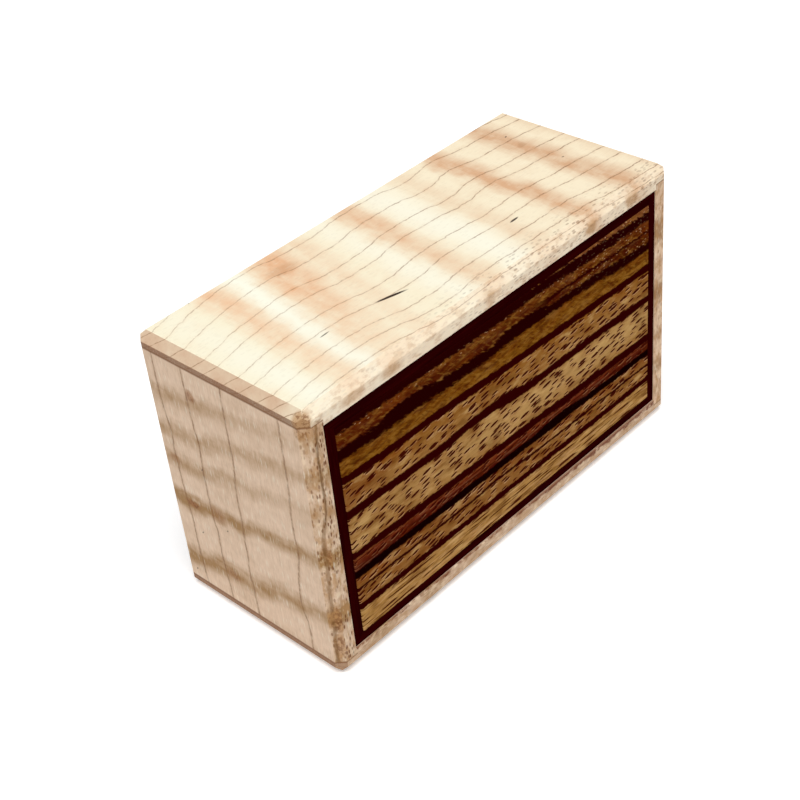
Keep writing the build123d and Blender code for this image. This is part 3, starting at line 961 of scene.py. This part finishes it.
def tan_wood(wood):
    """The wood between the dark layers."""
    (along, height, depth), seed = wood.spot, wood.seed
    cloud, teeth, red, upper = wood.cloud, wood.teeth, wood.red, wood.upper
    low, high = zebra_tans[0][0], zebra_tans[-1][0]
    stops = [((place - low) / (high - low), shade(*tone)) for place, *tone in zebra_tans]
    tan = wood.node("ShaderNodeValToRGB", {"stops": stops}, {0: (wood.straight - low) / (high - low)})

    mild = 1.0 - upper * 0.85 - red * 0.9
    tan = wood.mix(wood.fibre.rise(0.46, 0.80) * 0.60, tan, ZEBRA_FIBRE)
    tan = wood.mix(cloud.rise(0.50, 0.68) * mild * 0.52, tan, ZEBRA_PALE)
    tan = wood.mix(cloud.rise(0.49, 0.34) * (1 - red * 0.8) * 0.52, tan, ZEBRA_OLIVE)
    glow = wood.noise((along / 4.5 + seed, depth / 3.0, height / 1.5), 3.0, 0.6)
    tan = wood.mix(glow.rise(0.50, 0.64) * upper * 0.40, tan, ZEBRA_GOLD)
    tan = wood.mix(glow.rise(0.48, 0.36) * (upper * 0.60 + red * 0.5), tan, ZEBRA_WINE)
    tan = wood.mix(teeth.rise(0.02, 0.16) * upper * 0.36, tan, ZEBRA_GOLD)
    tan = wood.mix(teeth.rise(-0.03, -0.18) * upper * 0.55, tan, ZEBRA_TOOTH)
    orange = wood.noise((along / 9.0 + seed, depth / 5.0, height / 3.5 + 7.0), 2.0).rise(0.50, 0.75)
    tan = wood.mix(orange * 0.30, tan, ZEBRA_ORANGE)
    tan = wood.mix(local_bumps(along, height, zebra_dusks), tan, ZEBRA_DUSK)
    return wood.mix(local_bumps(along, height, zebra_glades), tan, ZEBRA_PALE)


print("stops of the tan ramp:", len(zebra_tans))

# %% [markdown]
# ### Pores, streaks, painted highlights and glints
#
# The pores are cells of a flat Voronoi pattern, which lean and curve with the grain, and each has its own
# size. The same pattern moved a little gives a painted highlight along one edge of each pore, and a softer
# cut the tint round it. Long streaks run in the quiet wood at the bottom. Painted glints lie along the top
# edge and the right side, with a few pale chips in the red wood.

# %% Pores, streaks, painted highlights and glints
PORE_SLOPE = 0.22
PORE_BEND = 0.0007
PORE_CELL = (3.8, 0.92)
PORE_HIGHLIGHT_SHIFT = 0.30


def open_pores(wood):
    """The pores, a painted highlight along one edge of each, and the tint of the wood round them."""
    (along, height, depth), seed = wood.spot, wood.seed
    long_way = along + height * PORE_SLOPE
    short_way = height - along * PORE_SLOPE + along * along * PORE_BEND
    crowd = wood.noise((along / 5.0, depth / 6.0 + seed, height / 2.4), 2.0).rise(0.25, 0.38)
    open_wood = crowd * (1 - wood.quiet * 0.8) * (1 - wood.upper * 0.65)
    pores = []
    for shift in (0.0, PORE_HIGHLIGHT_SHIFT):
        at = (long_way / PORE_CELL[0] + seed, (short_way + shift) / PORE_CELL[1], 0.0)
        gap, luck = wood.scatter(at, 0, 0.95, "2D")
        reach = luck * 0.21 + 0.125 + wood.share * 0.02
        edge = gap + wood.nibble * 0.20 - reach
        pores.append(edge.rise(0.05, -0.03) * open_wood)
    tint = edge.rise(0.26, 0.02) * open_wood
    pore, painted_lip_shading = pores
    painted_lip_shading = painted_lip_shading * (1 - pore) * (1 - wood.upper) * (1 - wood.red * 0.6) * wood.cloud.rise(0.36, 0.60)
    return pore, painted_lip_shading, tint


def long_streaks(wood):
    """Dark and pale streaks along the quiet wood at the bottom and the red wood."""
    (along, height, depth), seed = wood.spot, wood.seed
    streaks = wood.noise((along / 9.0 + seed, depth, height * 1.9), 2.0, 0.5)
    streak = streaks.rise(0.55, 0.60) * (wood.quiet * 0.96 + wood.red * 0.85)
    return streak, streaks.rise(0.46, 0.38) * (wood.quiet * 0.40 + wood.red * 0.07)


def painted_glints_and_chips(wood):
    """Painted glints along the top edge of the panel and at its right side, and a few real pale chips in the
    red wood.
    """
    under_top = wood.straight - wood.share * 1.4
    top_edge = under_top.rise(51.3, 52.2) * under_top.rise(53.0, 52.6)
    right_side = wood.share.rise(0.62, 0.85) * wood.straight.rise(46.5, 48.5)
    (along, height, depth), seed = wood.spot, wood.seed
    gap, luck = wood.scatter((along / 0.80 + seed, depth, height / 0.36), 1)
    glint_and_chip_spot = gap.rise(0.44, 0.18) * luck.rise(0.78, 0.92)
    return glint_and_chip_spot * (top_edge.most(right_side * 0.8) * 0.62 + wood.red * 0.06)

# %% [markdown]
# ### The whole zebrawood finish
#
# The tint and the painted highlights on the pore edges go under the pores, and the dark layers over all of
# them, as they hide the pores in the real wood.

# %% The whole zebrawood finish
ZEBRA_PORE_HIGHLIGHT_AND_PALE_STREAK = shade(222, 176, 126)
ZEBRA_GLINT_AND_CHIP = shade(214, 170, 126)
ZEBRA_TINT = shade(118, 46, 4)
ZEBRA_STREAK = shade(70, 20, 6)
ZEBRA_PORE = shade(60, 4, 2)
ZEBRA_DARK = shade(48, 2, 2)
ZEBRA_BLACK = shade(18, 1, 1)


def zebrawood(name, sideways=1, upside_down=False, seed=0.0):
    """Striped zebrawood for a panel that stands across the depth of the box."""
    wood = Panel(name, sideways, upside_down, seed)
    dark, black = dark_layers(wood)
    pore, painted_lip_shading, tint = open_pores(wood)
    streak, pale_streak = long_streaks(wood)
    colour = wood.mix(tint * 0.34, tan_wood(wood), ZEBRA_TINT)
    # painted highlight along one edge of each pore, together with the real pale streaks of the quiet wood
    colour = wood.mix((painted_lip_shading * 0.42).most(pale_streak), colour, ZEBRA_PORE_HIGHLIGHT_AND_PALE_STREAK)
    colour = wood.mix(pore * 0.96, colour, ZEBRA_PORE)
    colour = wood.mix(streak, colour, ZEBRA_STREAK)
    colour = wood.mix(dark, colour, ZEBRA_DARK)
    colour = wood.mix(black, colour, ZEBRA_BLACK)
    # painted glints along the top edge and the right side of the panel, with a few real pale chips in the
    # red wood
    colour = wood.mix(painted_glints_and_chips(wood) * (1 - dark * 0.8), colour, ZEBRA_GLINT_AND_CHIP)
    relief = wood.fibre * 0.3 - pore * 0.5
    return wood.surface(colour, 0.50 + wood.fibre * 0.14, relief, 0.05, Specular_IOR_Level=0.0)


finishes["front_panel"] = zebrawood("Zebrawood_front")
finishes["rear_panel"] = zebrawood("Zebrawood_rear", -1, True, 7.0)
print("pieces with a wood so far:", len(finishes))

# %% [markdown]
# ## Bloodwood borders
#
# The border strips are so deep a red that they look black beside the maple. A flat colour would look like
# paint, so fine streaks run along each strip, and the grain turns at the mitres.

# %% Bloodwood finish
BLOOD_DEEP = shade(36, 1, 2)
BLOOD_RED = shade(60, 4, 4)


def bloodwood(name, axis, seed):
    """Deep red wood with its grain along one axis."""
    wood = Finish(name)
    spots = wood.axes(wood.place)
    fine = [spot / 7.0 if n == axis else spot * 2.6 + seed for n, spot in enumerate(spots)]
    wide = [spot / 15.0 if n == axis else spot / 1.3 + seed for n, spot in enumerate(spots)]
    streak = wood.noise(fine, 3.0, 0.6)
    cloud = wood.noise(wide, 2.0)
    colour = wood.mix((streak.rise(0.40, 0.80) * 0.5 + cloud.rise(0.35, 0.75) * 0.4), BLOOD_DEEP, BLOOD_RED)
    return wood.surface(colour, 0.42 + streak * 0.14, streak, 0.012, Specular_IOR_Level=0.0)


strip_along_box = bloodwood("Bloodwood_level", X, 1.0)
strip_upright = bloodwood("Bloodwood_upright", Z, 5.0)
for face in ("front", "rear"):
    for side in ("top", "bottom"):
        finishes[f"{face}_border_{side}"] = strip_along_box
    for side in ("left", "right"):
        finishes[f"{face}_border_{side}"] = strip_upright
print("finished pieces so far:", len(finishes))

# %% [markdown]
# ## Brass hook and steel pin
#
# The lock's two metal pieces show only when the drawer is out. The hook was filed to shape from sheet
# brass, so its scratches run along it. The pin is ground steel, and its marks run round it.

# %% Metal finishes
BRASS = shade(214, 172, 96)
BRASS_DULL = shade(150, 108, 52)
STEEL = shade(190, 192, 196)
STEEL_DULL = shade(120, 122, 126)


def metal(name, bright, dull, patch, roughness):
    """Worked metal. patch is the size in millimetres of its marks along X, Y and Z."""
    made = Finish(name)
    spots = made.axes(made.place)
    marks = made.noise([spot / size for spot, size in zip(spots, patch)], 3.0, 0.6)
    bloom = made.noise([spot / 2.5 for spot in spots], 3.0)
    colour = made.mix(marks.rise(0.35, 0.75) * 0.30 + bloom.rise(0.45, 0.75) * 0.35, bright, dull)
    return made.surface(colour, roughness + bloom * 0.12 + marks * 0.08, marks, 0.01, Metallic=1.0)


finishes["drawer_hook"] = metal("Brass_filed", BRASS, BRASS_DULL, (0.2, 3.0, 0.2), 0.24)
finishes["lock_pin"] = metal("Steel_ground", STEEL, STEEL_DULL, (0.12, 2.0, 2.0), 0.20)
print("metal pieces:", 2)

# %% [markdown]
# ## Putting the finishes on
#
# The solids already have the true shapes, with their chamfers, eased arrises and mitres, so they are kept
# as they are and each takes its finish in its own material slots.

# %% Finish every solid
unfinished = sorted(set(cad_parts) - set(finishes))
for name, material in finishes.items():
    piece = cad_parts[name]
    piece.data.materials.clear()
    piece.data.materials.append(material)
    for face in piece.data.polygons:
        face.material_index = 0
print("finished:", len(finishes), "without a finish:", unfinished)
